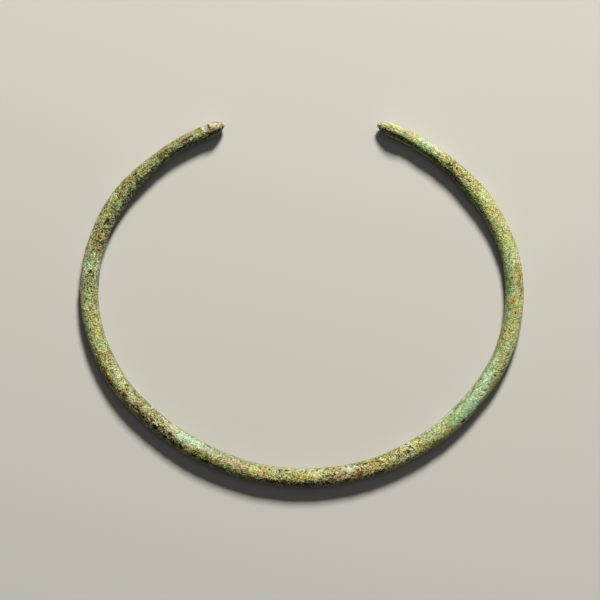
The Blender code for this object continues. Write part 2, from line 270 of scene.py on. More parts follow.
# dark yellow-green stain
OLIVE = (
    (7.5, -0.7, 6.0, 0.3, 0.6), (11.8, -0.35, 0.4, 0.25, 0.9), (13.5, -0.5, 2.6, 0.45, 0.9),
    (15.9, -0.15, 0.4, 0.25, 1.2), (15.9, -0.15, 0.5, 0.3, 0.8), (18.0, -0.6, 3.0, 0.4, 0.7),
    (22.5, -0.8, 3.0, 0.35, 0.5), (33.5, 0.6, 2.0, 0.5, 0.5), (55.8, -1.15, 0.8, 0.2, 0.7),
    (55.9, -1.15, 0.5, 0.2, 1.2), (61.5, 0.9, 2.2, 0.45, 0.5), (63.1, -0.65, 0.3, 0.2, 0.6),
    (64.0, -0.8, 3.0, 0.5, 0.5), (66.3, -0.85, 0.4, 0.2, 0.8), (68.8, -0.15, 0.4, 0.25, 0.5),
    (70.5, 0.6, 1.6, 0.4, 0.4), (71.0, -0.95, 4.0, 0.5, 0.9), (78.5, -0.8, 0.5, 0.3, 0.8),
    (79.0, -0.25, 0.4, 0.2, 0.8), (87.0, 0.35, 3.0, 0.3, 0.4), (89.2, -1.15, 0.5, 0.25, 0.5),
    (98.5, 0.55, 2.6, 0.5, 0.8), (102.3, 0.4, 1.8, 0.35, 0.7), (110.5, -1.1, 1.8, 0.3, 0.7),
    (110.8, -0.5, 0.5, 0.35, 0.7), (110.8, -0.25, 0.4, 0.3, 0.7), (112.3, -0.95, 3.0, 0.45, 0.85),
    (118.2, 1.0, 2.4, 0.4, 0.8), (121.5, 0.9, 2.0, 0.35, 0.4), (121.6, -1.1, 1.0, 0.25, 1.1),
    (133.8, -0.95, 0.4, 0.3, 0.7), (138.0, -0.1, 2.0, 0.6, 0.5), (145.8, 0.2, 1.8, 0.7, 0.7),
    (150.0, 0.45, 1.2, 0.35, 0.6), (152.5, -0.2, 0.6, 0.3, 0.6), (155.6, 0.25, 1.0, 0.4, 0.6),
    (158.6, 0.2, 1.6, 0.4, 0.6), (160.8, -0.3, 1.6, 0.3, 0.6),
)

# deep grass green, and painted shade: most of these marks tint the shaded inner side of the arms green
ATACAMITE_AND_PAINTED_SHADE = (
    (4.0, -0.5, 1.2, 0.14, 0.6), (11.0, -0.85, 2.6, 0.3, 0.8), (20.0, -1.0, 4.6, 0.2, 1.0),
    (26.5, -0.95, 3.0, 0.3, 0.8), (33.5, -0.8, 1.6, 0.35, 0.9), (35.6, -0.75, 0.7, 0.25, 0.9),
    (39.0, -1.0, 3.0, 0.25, 0.6), (44.5, -1.1, 3.0, 0.2, 0.5), (95.0, 0.5, 2.2, 0.3, 0.5),
    (97.8, 0.35, 0.7, 0.3, 0.55), (147.5, -0.6, 3.0, 0.3, 0.7), (150.6, -0.05, 0.7, 0.25, 0.7),
    (157.6, -0.3, 1.0, 0.15, 0.8), (160.3, -0.45, 1.0, 0.18, 0.8), (162.0, 0.1, 0.6, 0.25, 0.4),
)

# pale yellow-green dust
LEMON = (
    (2.1, 0.8, 0.5, 0.15, 0.35), (3.05, 0.55, 0.7, 0.3, 1.0), (11.4, 0.5, 0.7, 0.5, 0.6),
    (15.5, 0.7, 3.0, 0.25, 0.7), (17.5, 0.2, 6.0, 0.9, 0.45), (18.8, -0.35, 1.0, 0.4, 0.8),
    (24.8, -0.85, 1.5, 0.2, 0.5), (38.2, 0.85, 1.3, 0.35, 0.5), (65.8, 0.85, 0.35, 0.2, 1.0),
    (67.4, -0.6, 0.35, 0.4, 0.8), (70.8, -0.35, 0.9, 0.4, 0.6), (81.9, -0.2, 1.5, 0.45, 0.9),
    (85.0, 0.0, 3.0, 0.25, 0.5), (88.0, 0.1, 3.5, 0.2, 0.6), (88.2, 0.3, 1.2, 0.3, 0.8),
    (91.1, -0.2, 1.2, 0.7, 0.7), (93.2, 0.75, 0.6, 0.3, 1.0), (97.3, 0.2, 0.5, 0.4, 1.2),
    (101.2, 0.05, 0.8, 0.35, 0.8), (113.1, -0.45, 0.9, 0.3, 0.4), (113.4, 0.2, 0.6, 0.4, 0.6),
    (116.5, -0.5, 1.0, 0.4, 0.5), (118.0, 0.4, 1.2, 0.4, 0.6), (119.2, 0.9, 1.2, 0.3, 0.7),
    (125.5, -0.4, 1.3, 0.45, 0.7), (130.5, 0.9, 1.6, 0.35, 0.7), (144.5, 0.4, 2.0, 0.35, 0.8),
    (146.0, 0.75, 1.4, 0.4, 0.9), (146.2, 0.45, 0.9, 0.4, 0.9), (147.8, 0.85, 1.0, 0.3, 0.8),
    (150.0, 0.3, 6.0, 0.8, 0.45), (153.8, 0.6, 1.1, 0.3, 0.7), (157.5, 0.8, 1.2, 0.25, 0.8),
    (161.9, 0.35, 0.5, 0.3, 0.5),
)

# earthy brown stain
OCHRE = (
    (2.05, 0.35, 0.18, 0.16, 1.1), (4.5, 0.5, 0.3, 0.16, 0.8), (12.9, 0.7, 0.7, 0.4, 0.6),
    (14.3, -0.35, 0.6, 0.35, 0.7), (14.35, 0.42, 0.5, 0.42, 1.1), (15.4, 1.05, 0.3, 0.15, 0.7),
    (15.9, -0.1, 0.5, 0.25, 0.9), (15.9, 0.25, 0.65, 0.4, 0.9), (17.2, 1.0, 0.5, 0.25, 1.0),
    (18.6, 0.3, 0.5, 0.5, 0.4), (22.4, 0.7, 1.4, 0.5, 0.6), (23.2, 1.15, 1.2, 0.2, 0.7),
    (32.8, 0.9, 0.5, 0.3, 0.6), (36.85, -0.4, 0.5, 0.5, 0.9), (38.6, 0.4, 1.3, 0.8, 0.5),
    (40.4, -0.2, 0.5, 0.4, 0.6), (48.5, 1.0, 2.4, 0.35, 0.7), (59.8, -0.68, 0.5, 0.3, 0.8),
    (60.6, 0.8, 1.3, 0.4, 0.8), (63.1, -0.4, 0.4, 0.35, 0.6), (64.4, -0.4, 0.45, 0.45, 0.7),
    (70.6, -0.2, 1.4, 0.5, 0.6), (71.6, -0.7, 0.8, 0.2, 0.7), (72.6, 0.3, 1.1, 0.65, 1.0),
    (78.7, -0.85, 0.3, 0.25, 0.8), (100.5, 0.3, 0.55, 0.35, 1.1), (119.6, 0.9, 1.8, 0.4, 0.6),
    (120.6, -0.35, 0.5, 0.45, 0.5), (126.8, -0.3, 1.6, 0.5, 0.5), (127.3, -0.8, 0.6, 0.3, 0.6),
    (128.9, -0.2, 0.6, 0.4, 0.6), (137.6, -0.7, 0.5, 0.4, 1.1), (139.8, 0.1, 0.5, 0.45, 1.2),
    (140.3, -0.65, 0.9, 0.3, 0.7), (147.3, 0.3, 0.45, 0.35, 1.0), (148.3, 0.9, 1.0, 0.4, 0.8),
    (150.4, 0.5, 0.7, 0.4, 0.8), (156.2, 0.35, 0.6, 0.3, 1.2), (157.5, 0.85, 2.5, 0.3, 0.5),
    (159.6, 0.3, 0.5, 0.5, 0.9), (163.95, 0.35, 0.2, 0.5, 0.8),
)

# bluish green, and painted shade: the long marks along the inner side of the arms tint the shade green
MALACHITE_AND_PAINTED_SHADE = (
    (7.6, -0.1, 0.45, 0.38, 1.2), (7.8, -0.65, 0.7, 0.25, 0.8), (10.2, -0.75, 0.9, 0.3, 0.6),
    (17.1, -0.4, 0.6, 0.4, 0.5), (19.5, -0.95, 2.2, 0.35, 0.6), (28.0, -1.15, 8.0, 0.25, 0.5),
    (29.8, -0.6, 2.0, 0.45, 0.5), (31.0, -0.75, 2.0, 0.4, 0.6), (33.5, -0.85, 0.9, 0.35, 0.6),
    (35.2, -0.9, 1.5, 0.3, 0.6), (35.5, -0.6, 0.75, 0.5, 1.0), (39.8, -0.8, 1.5, 0.35, 0.6),
    (50.8, -0.4, 1.3, 0.5, 0.7), (51.7, 0.3, 0.8, 0.5, 0.6), (54.0, 0.0, 3.4, 0.9, 0.5),
    (55.4, 0.35, 1.2, 0.7, 1.0), (57.3, 0.2, 1.1, 0.6, 0.9), (122.8, 0.3, 1.0, 0.45, 0.4),
    (135.5, 0.25, 1.1, 0.7, 0.65), (141.6, -1.0, 0.4, 0.3, 0.8), (143.3, 0.0, 0.6, 0.3, 0.5),
    (148.7, -0.5, 1.0, 0.4, 0.6), (156.0, -0.9, 7.0, 0.25, 0.5), (157.4, -0.1, 1.0, 0.25, 0.5),
)

# pale blue-green chalky crust, most of it along the rims, where its thin pale lines are painted highlight
CHALK_AND_PAINTED_HIGHLIGHTS = (
    (0.95, 0.84, 0.24, 0.16, 1.6), (1.15, 0.35, 0.4, 0.3, 0.3), (1.2, 0.45, 0.7, 0.3, 0.55),
    (2.4, 0.92, 1.8, 0.14, 0.9), (3.85, 0.05, 0.4, 0.3, 0.8), (4.3, 0.8, 0.5, 0.2, 0.5),
    (4.5, -1.02, 5.0, 0.09, 0.7), (6.15, 0.1, 0.3, 0.2, 0.7), (7.5, 0.7, 1.3, 0.4, 0.9),
    (9.6, 0.1, 1.6, 0.5, 0.5), (9.6, 0.8, 1.6, 0.4, 1.0), (19.7, 0.35, 1.3, 0.6, 0.5),
    (25.6, 0.8, 1.2, 0.45, 0.4), (28.4, 0.3, 0.6, 0.3, 0.5), (29.5, 0.9, 1.6, 0.5, 0.5),
    (38.2, 0.9, 1.4, 0.45, 0.2), (42.3, 1.1, 0.9, 0.3, 0.5), (44.2, 0.3, 1.0, 0.5, 0.5),
    (46.0, 1.15, 1.4, 0.3, 0.5), (46.8, -0.7, 1.2, 0.5, 0.5), (49.6, -0.3, 1.6, 0.8, 0.7),
    (53.1, 0.85, 0.5, 0.25, 0.7), (53.2, 0.5, 0.8, 0.4, 0.6), (53.4, -1.25, 1.3, 0.12, 0.8),
    (54.0, 0.0, 4.0, 1.0, 0.45), (55.5, 0.95, 2.2, 0.4, 0.6), (58.5, 1.2, 1.4, 0.25, 0.7),
    (58.6, -1.25, 1.5, 0.12, 0.8), (60.8, -0.7, 2.2, 0.6, 0.45), (65.2, -0.85, 0.6, 0.2, 0.4),
    (65.85, -0.1, 0.22, 0.8, 0.9), (66.0, -0.9, 0.5, 0.35, 0.6), (66.0, 0.15, 0.3, 0.3, 0.9),
    (66.0, 0.58, 0.35, 0.22, 1.2), (66.1, 0.4, 0.3, 0.2, 0.8), (66.5, 0.5, 0.5, 0.12, 0.8),
    (67.3, 0.75, 0.9, 0.3, 0.6), (69.8, -0.85, 1.4, 0.25, 0.4), (72.2, -1.25, 0.5, 0.12, 0.4),
    (74.8, 0.82, 0.3, 0.12, 0.8), (76.0, -0.8, 1.2, 0.55, 0.8), (80.5, -1.0, 0.8, 0.3, 0.9),
    (80.5, -0.7, 2.0, 0.4, 0.5), (83.4, -1.2, 2.2, 0.25, 0.7), (93.0, -1.28, 7.0, 0.12, 0.8),
    (94.5, -0.9, 2.4, 0.35, 0.6), (98.4, -0.8, 1.6, 0.5, 0.8), (100.4, -1.3, 1.5, 0.1, 0.9),
    (100.8, -0.15, 0.5, 0.3, 0.7), (101.3, -0.85, 1.9, 0.55, 1.2), (102.5, 0.05, 0.5, 0.3, 0.8),
    (103.4, -0.5, 1.0, 0.7, 1.0), (104.0, -0.1, 3.0, 0.35, 0.5), (104.3, -1.25, 1.6, 0.16, 0.9),
    (105.2, -1.08, 1.7, 0.22, 0.9), (105.6, -1.0, 1.4, 0.35, 0.9), (107.7, -0.85, 0.4, 0.3, 0.6),
    (107.7, 0.2, 0.4, 0.3, 0.9), (109.8, -1.15, 0.5, 0.25, 0.6), (109.9, -0.9, 0.6, 0.3, 0.4),
    (111.8, -0.8, 1.6, 0.3, 0.45), (113.2, -0.3, 0.9, 0.6, 0.6), (114.8, -0.75, 0.8, 0.25, 0.35),
    (116.0, 0.0, 1.2, 0.5, 0.5), (117.0, -1.15, 4.0, 0.15, 0.5), (117.3, -0.55, 1.1, 0.5, 0.6),
    (124.4, 0.4, 0.7, 0.3, 0.4), (125.0, 1.1, 2.4, 0.25, 0.3), (130.0, 1.15, 2.6, 0.3, 0.35),
    (130.2, 0.36, 0.14, 0.12, 0.8), (130.5, -1.28, 6.0, 0.1, 0.6), (131.9, -1.15, 0.5, 0.2, 0.9),
    (132.6, -1.15, 0.5, 0.2, 0.7), (134.5, 0.8, 1.2, 0.5, 0.6), (135.1, -1.1, 0.6, 0.32, 1.1),
    (136.8, -0.2, 0.4, 0.25, 0.7), (137.0, -1.25, 0.9, 0.12, 0.4), (140.7, -1.2, 0.15, 0.14, 1.0),
    (141.8, 1.2, 0.3, 0.18, 0.9), (142.5, -1.2, 0.18, 0.14, 1.0), (152.8, -0.45, 0.9, 0.14, 0.4),
    (158.1, -0.2, 0.8, 0.14, 0.5), (160.75, -0.15, 0.3, 0.16, 0.8), (161.2, 0.0, 0.7, 0.14, 0.5),
    (161.55, 0.3, 0.25, 0.14, 0.7), (163.25, 0.45, 0.38, 0.34, 1.5), (165.1, 0.12, 0.3, 0.2, 0.6),
    (166.3, 0.0, 0.14, 0.4, 0.9),
)

# dull pinkish brown film
ROSE = (
    (5.0, 0.75, 0.9, 0.3, 1.3), (6.0, 0.85, 0.4, 0.2, 0.9), (8.5, 1.0, 6.5, 0.18, 0.5),
    (22.0, 1.25, 5.0, 0.2, 0.5), (24.8, 0.95, 1.6, 0.3, 0.6), (35.2, 0.5, 0.55, 0.4, 0.9),
    (35.5, 1.38, 5.0, 0.16, 0.8), (41.8, -0.2, 0.7, 0.45, 0.7), (45.5, 0.1, 1.0, 0.5, 1.0),
    (63.8, -0.4, 0.9, 0.4, 0.7), (66.95, -0.65, 0.5, 0.4, 1.0), (68.6, -0.7, 0.45, 0.35, 0.8),
    (73.8, -0.3, 0.4, 0.4, 0.9), (78.5, 0.0, 0.9, 0.9, 0.8), (86.0, -0.6, 0.5, 0.4, 0.9),
    (89.3, -0.75, 0.6, 0.45, 1.2), (94.2, -0.6, 2.3, 0.55, 1.0), (98.3, -0.35, 1.1, 0.4, 0.7),
    (105.3, -0.3, 1.2, 0.45, 0.8), (109.2, -0.4, 1.0, 0.55, 0.8), (111.0, -0.3, 0.8, 0.6, 0.6),
    (112.2, -0.5, 1.0, 0.3, 0.6), (129.0, -0.15, 0.5, 0.4, 0.5), (147.0, -0.4, 0.6, 0.5, 0.6),
    (151.0, 1.15, 8.0, 0.2, 0.5), (160.9, 0.7, 0.7, 0.35, 0.8), (164.9, 0.85, 0.9, 0.14, 0.9),
)

# warm off-white, and painted highlight in the thin lines along the inner rim
CREAM_AND_PAINTED_HIGHLIGHTS = (
    (0.15, 0.1, 0.28, 0.4, 0.6), (0.5, 0.45, 0.4, 0.12, 0.6), (2.0, 0.88, 1.1, 0.14, 0.6),
    (4.0, 0.95, 0.9, 0.12, 0.8), (5.8, 0.7, 0.5, 0.25, 0.7), (10.2, 0.85, 1.0, 0.3, 0.7),
    (42.1, 1.1, 0.5, 0.2, 0.6), (44.4, 1.05, 0.5, 0.2, 0.7), (53.2, -1.3, 1.2, 0.1, 0.7),
    (57.6, 1.02, 0.14, 0.1, 0.9), (59.0, -1.3, 2.0, 0.1, 0.7), (65.5, 1.1, 0.5, 0.25, 0.7),
    (70.2, 0.1, 0.4, 0.25, 0.6), (74.2, -0.85, 0.35, 0.25, 0.9), (74.85, 0.8, 0.2, 0.12, 1.0),
    (75.8, -0.45, 0.8, 0.3, 0.7), (75.9, 0.6, 0.3, 0.25, 1.0), (76.5, -0.75, 0.4, 0.25, 1.0),
    (76.9, 0.35, 0.45, 0.28, 1.2), (77.7, -0.2, 0.35, 0.35, 0.8), (86.8, -0.55, 0.5, 0.3, 0.7),
    (95.5, -0.35, 3.0, 0.3, 0.6), (101.2, 0.1, 0.7, 0.3, 0.5), (105.4, -0.45, 1.0, 0.2, 0.6),
    (112.0, -0.45, 0.4, 0.25, 0.8), (119.2, 0.05, 0.5, 0.3, 0.6), (126.0, -1.3, 3.0, 0.1, 0.7),
    (138.3, 0.15, 0.4, 0.25, 0.6), (156.4, 0.95, 0.4, 0.2, 0.7), (159.9, -0.1, 0.3, 0.2, 0.6),
    (160.6, 0.75, 0.5, 0.3, 0.6), (160.9, 0.6, 0.5, 0.12, 0.7), (163.1, 0.88, 0.3, 0.14, 0.7),
    (163.7, 0.1, 0.2, 0.3, 0.5), (164.7, 0.5, 0.45, 0.45, 1.1), (165.0, -0.08, 0.5, 0.2, 1.1),
    (165.2, 0.8, 0.9, 0.16, 0.4), (165.35, 0.3, 0.5, 0.5, 1.2), (165.7, 0.22, 0.3, 0.4, 1.2),
)

# red-brown copper oxide, where the crust has come away
CUPRITE = (
    (13.2, -0.3, 0.5, 0.4, 0.7), (14.3, 0.55, 0.3, 0.24, 1.0), (15.9, -0.1, 0.35, 0.2, 0.45),
    (16.4, 0.42, 0.4, 0.2, 0.8), (33.4, 0.9, 0.4, 0.15, 0.6), (53.9, 1.2, 0.6, 0.12, 0.7),
    (56.9, 1.08, 0.5, 0.12, 0.8), (71.5, 1.25, 0.7, 0.2, 0.8), (74.0, 1.15, 0.5, 0.15, 0.9),
    (74.45, 0.3, 0.42, 0.65, 1.6), (75.15, 0.45, 0.6, 0.42, 1.9), (78.4, -0.3, 0.25, 0.3, 0.7),
    (78.6, -0.8, 0.3, 0.25, 0.4), (79.0, 0.1, 0.6, 0.3, 0.7), (99.5, 0.0, 0.5, 0.4, 0.6),
    (105.1, 0.2, 0.45, 0.35, 0.8), (106.9, 0.0, 0.7, 0.25, 0.9), (108.8, -0.5, 0.6, 0.2, 0.45),
    (108.9, -0.2, 0.55, 0.3, 1.2), (109.1, -0.22, 0.55, 0.25, 1.4), (109.9, 0.8, 0.5, 0.4, 0.9),
    (110.8, -0.45, 0.4, 0.2, 0.35), (114.6, -0.3, 0.35, 0.35, 0.7), (114.6, 0.5, 0.5, 0.4, 0.7),
    (117.0, 1.05, 0.8, 0.22, 0.9), (120.7, -0.35, 0.22, 0.16, 0.35), (134.0, 0.1, 0.5, 0.35, 0.6),
    (137.6, -0.66, 0.22, 0.18, 1.1), (139.8, 0.05, 0.28, 0.22, 0.9), (142.2, -0.2, 0.8, 0.25, 0.7),
    (150.8, 0.55, 0.4, 0.25, 0.7), (155.2, 0.3, 0.3, 0.2, 0.5), (156.2, 0.3, 0.35, 0.2, 0.8),
    (159.9, 0.12, 0.4, 0.35, 1.1), (160.4, 0.35, 0.6, 0.16, 0.8), (162.45, 0.9, 0.28, 0.14, 1.0),
    (163.95, 0.45, 0.09, 0.35, 1.0), (165.5, 0.78, 0.6, 0.13, 1.2),
)

# nearly white lime from the soil, and painted highlight: thin lines along the rims, white spots on the heads
LIME_AND_PAINTED_HIGHLIGHTS = (
    (0.2, 0.2, 0.1, 0.2, 0.6), (0.95, 0.86, 0.16, 0.1, 1.0), (2.4, 0.95, 1.0, 0.08, 0.5),
    (3.2, 0.55, 0.3, 0.1, 0.5), (3.9, 0.75, 0.35, 0.1, 0.8), (6.0, 0.55, 0.3, 0.1, 0.4),
    (6.05, 0.05, 0.25, 0.12, 0.7), (61.0, -1.3, 6.0, 0.06, 0.8), (66.0, -1.15, 0.4, 0.12, 0.8),
    (72.2, -1.3, 0.5, 0.06, 0.8), (75.25, 0.85, 0.16, 0.12, 1.0), (75.5, -0.9, 0.6, 0.12, 0.6),
    (75.7, 0.8, 0.16, 0.14, 1.0), (76.5, -0.8, 0.25, 0.12, 0.7), (84.0, -1.3, 4.0, 0.06, 0.7),
    (99.0, -1.0, 1.5, 0.15, 0.6), (100.4, -1.1, 0.7, 0.2, 0.75), (102.2, -1.15, 1.5, 0.15, 0.3),
    (104.5, -1.25, 2.0, 0.1, 0.7), (107.3, -1.15, 0.45, 0.15, 0.8), (111.5, -1.3, 4.0, 0.05, 0.3),
    (113.8, -0.4, 0.5, 0.25, 0.5), (116.2, -0.85, 0.6, 0.25, 0.6), (132.3, -1.2, 0.4, 0.1, 0.8),
    (143.2, -1.12, 0.14, 0.1, 0.8), (144.0, -1.1, 0.12, 0.08, 0.8), (145.8, -0.8, 0.12, 0.1, 0.6),
    (163.15, 0.85, 0.14, 0.08, 0.8), (163.2, 0.4, 0.3, 0.22, 0.8), (164.35, 0.76, 0.14, 0.14, 1.1),
    (164.8, 0.55, 0.13, 0.24, 1.1), (164.85, -0.06, 0.2, 0.07, 0.9), (165.1, -0.02, 0.25, 0.08, 0.7),
    (165.25, 0.55, 0.13, 0.24, 1.1), (165.6, 0.3, 0.16, 0.2, 0.8), (166.25, 0.05, 0.16, 0.35, 1.2),
)

# the corrosion products, each laid over those before it: its marks, the size of its stray patches, where in
# the noise these start, its colour, the most of it, and its lean to the crests or, if negative, the hollows
# tenorite, atacamite and malachite also carry painted shade, and chalk, cream and lime painted highlights
PRODUCTS = {
    "tenorite_and_painted_shade": (TENORITE_AND_PAINTED_SHADE, 2.2, 0.50, "#22200d", 0.85, -0.55),
    "olive": (OLIVE, 2.0, 0.52, "#5c5a20", 0.70, -0.30),
    "atacamite_and_painted_shade": (ATACAMITE_AND_PAINTED_SHADE, 2.0, 0.60, "#4c7428", 0.70, -0.20),
    "lemon": (LEMON, 1.8, 0.45, "#b9b668", 0.60, 0.10),
    "ochre": (OCHRE, 1.6, 0.45, "#8a6c3a", 0.68, -0.20),
    "malachite_and_painted_shade": (MALACHITE_AND_PAINTED_SHADE, 2.4, 0.46, "#68a074", 0.60, -0.10),
    "chalk_and_painted_highlights": (CHALK_AND_PAINTED_HIGHLIGHTS, 1.9, 0.42, "#b8ccb8", 0.74, 0.25),
    "rose": (ROSE, 1.5, 0.50, "#ab957a", 0.55, 0.15),
    "cream_and_painted_highlights": (CREAM_AND_PAINTED_HIGHLIGHTS, 1.7, 0.62, "#c6b29a", 0.80, 0.20),
    "cuprite": (CUPRITE, 1.1, 0.58, "#6a381c", 0.80, -0.30),
    "lime_and_painted_highlights": (LIME_AND_PAINTED_HIGHLIGHTS, 1.5, 0.75, "#dadcc6", 0.80, 0.30),
}

# the ground under them: its two colours, and what is mottled over it, as colour, size of the patches, where
# in the noise they start and are full, and the most of them
GREEN_GROUND = "#7a9065"
WARM_GROUND = "#96845a"
MOTTLING = (
    ("#a1a162", 3.4, 0.40, 0.64, 0.6),
    ("#80966f", 2.1, 0.48, 0.68, 0.5),
    ("#b4b888", 0.80, 0.46, 0.70, 0.35),
    ("#6b7040", 0.60, 0.52, 0.72, 0.35),
)

# slow changes along the rod: place along, lightness, warmth of the ground from green, 0, to brown, 1, and how
# strongly the grain shows
TONES = ("lightness", "warmth", "graininess")
SLOW_TONES = (
    (0.0, 1.12, 0.45, 0.6), (6.0, 1.08, 0.5, 0.7), (10.0, 1.1, 0.45, 0.95), (14.0, 1.08, 0.58, 1.2),
    (18.0, 1.25, 0.6, 0.9), (22.0, 1.4, 0.52, 0.8), (30.0, 1.44, 0.42, 0.75), (34.0, 1.22, 0.5, 0.8),
    (38.0, 1.44, 0.42, 0.75), (44.0, 1.26, 0.3, 0.75), (50.0, 1.36, 0.15, 0.75), (56.0, 1.37, 0.15, 0.65),
    (62.0, 1.24, 0.45, 0.85), (66.0, 1.38, 0.55, 1.1), (70.0, 1.3, 0.7, 1.1), (78.0, 1.18, 0.95, 1.05),
    (86.0, 1.16, 0.9, 1.0), (92.0, 1.08, 0.85, 1.0), (98.0, 1.04, 0.6, 1.0), (102.0, 1.2, 0.5, 1.0),
    (108.0, 1.12, 0.62, 1.0), (113.5, 1.24, 0.75, 0.85), (120.0, 1.3, 0.65, 0.95), (127.0, 1.26, 0.52, 0.95),
    (131.0, 1.12, 0.5, 1.0), (135.0, 1.28, 0.45, 1.1), (139.0, 1.02, 0.5, 1.22), (142.0, 0.84, 0.5, 1.3),
    (146.0, 0.9, 0.55, 1.15), (150.0, 0.69, 0.55, 1.25), (154.0, 0.79, 0.58, 1.2), (158.0, 0.66, 0.6, 1.2),
    (162.0, 0.8, 0.6, 1.05), (165.0, 0.93, 0.6, 1.0),
)

# changes round the rod: the crown on the outer side is warmer and the inner side darker as painted shade,
# each between two cosines of the angle, and chalk and cream smooth the grain
CROWN = (0.5, 0.95)
CROWN_WARMTH = 0.28
INNER_SIDE = (0.45, 0.85)
INNER_SIDE_PAINTED_SHADE = 0.25
SMOOTHED_BY_CHALK = 0.60

# the sand between the grains of the mesh, and the dust on it: real burial crust has it at 0.02 to 0.1 mm,
# which is too fine to show in the render, so both are drawn as coarse as they need to be to show
SAND = 0.19
SAND_HEIGHT = {"From Min": 0.33, "From Max": 0.67, "To Min": -1.32, "To Max": 1.32}
DUST = 0.14
DUST_HEIGHT = 0.25
SAND_BUMP = 0.035
SAND_BUMP_STRENGTH = 0.8

# from the hollows between grains to their crests: how light the crust is and how strong its colour, partly
# its own tone and partly painted shade in the hollows and painted highlight on the crests
GRAIN_LIGHTNESS_AND_PAINTED_SHADE = {"From Min": -1.6, "From Max": 1.6, "To Min": 0.22, "To Max": 1.70}
GRAIN_COLOUR_STRENGTH_AND_PAINTED_SHADE = {"From Min": -1.6, "From Max": 1.6, "To Min": 1.32, "To Max": 0.92}

# how the amount of a product covers what is under it, and the ragged edge of each, a little coarser from one
# to the next so that no two end along the same line
PRODUCT_COVER = {"From Min": 0.2, "From Max": 1.05}
PRODUCT_EDGE = 0.28
PRODUCT_EDGE_STEP = 0.02
PRODUCT_RAGGEDNESS = {"From Min": 0.3, "From Max": 0.7, "To Min": 0.5, "To Max": 1.5}

# the dark of the pits, and how matt the crust is from one patch to the next
PIT_DARK = "#1e180e"
PIT_COVER = {"From Min": 0.12, "From Max": 0.65, "To Max": 0.95}
MATT_PATCH = 0.9
MATTNESS = {"From Min": 0.3, "From Max": 0.7, "To Min": 0.72, "To Max": 0.92}

# the view: straight down from as far away as a long lens needs, with the width that it takes in at the rod's
# middle and the place at its centre
FRAME_WIDTH = 92.1
VIEW_CENTRE = (-0.29, 0.70)
VIEW_DISTANCE = 600.0
SENSOR_WIDTH = 36.0
NEAREST_SEEN = 10.0

# the studio: a wide floor, soft square lights and a faint even light from all round, with each light's name,
# azimuth from +X towards +Y, elevation, distance, size, power and colour
FLOOR_WIDTH = 6000.0
LIGHTS = (
    ("key_from_the_gap_side", 78.0, 38.0, 700.0, 140.0, 8.2, "#fffcf4"),
    ("fill_from_above", 60.0, 78.0, 800.0, 500.0, 0.4, "#f6f8ff"),
)
ROOM_COLOUR = "#e6e8ea"
ROOM_STRENGTH = 0.05


def linear(hex_colour):
    """An sRGB hex colour as linear red, green, blue and alpha."""
    parts = [int(hex_colour[k : k + 2], 16) / 255 for k in (1, 3, 5)]
    return [c / 12.92 if c <= 0.04045 else ((c + 0.055) / 1.055) ** 2.4 for c in parts] + [1.0]


# the shape


def hoop_point(angle):
    """A turned ellipse in polar form, plus waves of three and of four crests, at an angle from the gap."""
    across = OVAL_WIDTH / 2
    deep = OVAL_DEPTH / 2
    turned = np.radians(angle - OVAL_TURN)
    radius = across * deep / np.hypot(across * np.cos(turned), deep * np.sin(turned))
    radius = radius + THREE_WAVE_DEPTH * np.cos(np.radians(3 * (angle - THREE_WAVE_CREST)))
    radius = radius + FOUR_WAVE_DEPTH * np.cos(np.radians(4 * (angle - FOUR_WAVE_CREST)))
    turn = np.radians(angle)
    return np.stack([radius * np.sin(turn), radius * np.cos(turn)], axis=-1)


def middle_line():
    """The middle line from the right snout round the back to the left one, and the distances along it.

    It starts and ends where the hoop is half a gap to either side, and the distances add up its short steps.
    """
    front = np.linspace(0.0, 90.0, LINE_POINTS)
    right_angle = np.interp(GAP / 2 - GAP_SHIFT, hoop_point(front)[:, 0], front)
    left_angle = 360.0 - np.interp(GAP / 2 + GAP_SHIFT, -hoop_point(-front)[:, 0], front)
    points = hoop_point(np.linspace(right_angle, left_angle, LINE_POINTS))
    steps = np.linalg.norm(np.diff(points, axis=0), axis=1)
    return points, np.concatenate([[0.0], np.cumsum(steps)])


def eased(place, places, sizes):
    """A size that eases from one station to the next, level at each: 3 t^2 - 2 t^3 of the way t between."""
    share = np.interp(place, places, np.arange(len(places), dtype=float))
    whole = np.floor(share)
    part = share - whole
    return np.interp(whole + part * part * (3.0 - 2.0 * part), np.arange(len(places)), sizes)


def ramp(value, low, high):
    """Nought below low, one above high, and between them 3 t^2 - 2 t^3 of the way t from one to the other."""
    part = np.clip((value - low) / (high - low), 0.0, 1.0)
    return part * part * (3.0 - 2.0 * part)


def bump(distance, spread):
    """A rounded bump: e to the power of minus the square of the distance over the spread."""
    return np.exp(-((distance / spread) ** 2))


def nose(places, rounding):
    """The share of a head's size at each place: a quarter ellipse up to the rounding, then the whole."""
    return np.sqrt(1.0 - np.clip(1.0 - places / rounding, 0.0, 1.0) ** 2)


def ring_places(run, nose_rounding):
    """Distances from a snout to the middle of the run at which the surface has a ring.

    Over the nose they follow one minus the cosine of even angles, and then even steps, shorter at the head.
    """
    around = np.linspace(0.0, np.pi / 2, NOSE_RINGS + 1)[1:]
    stretches = [nose_rounding * (1.0 - np.cos(around))]
    for start, end, step in (
        (nose_rounding, HEAD_STEPS_END, HEAD_STEP),
        (HEAD_STEPS_END, run / 2, ROD_STEP),
    ):
        stretches.append(np.linspace(start, end, round((end - start) / step) + 1)[1:])
    return np.concatenate(stretches)


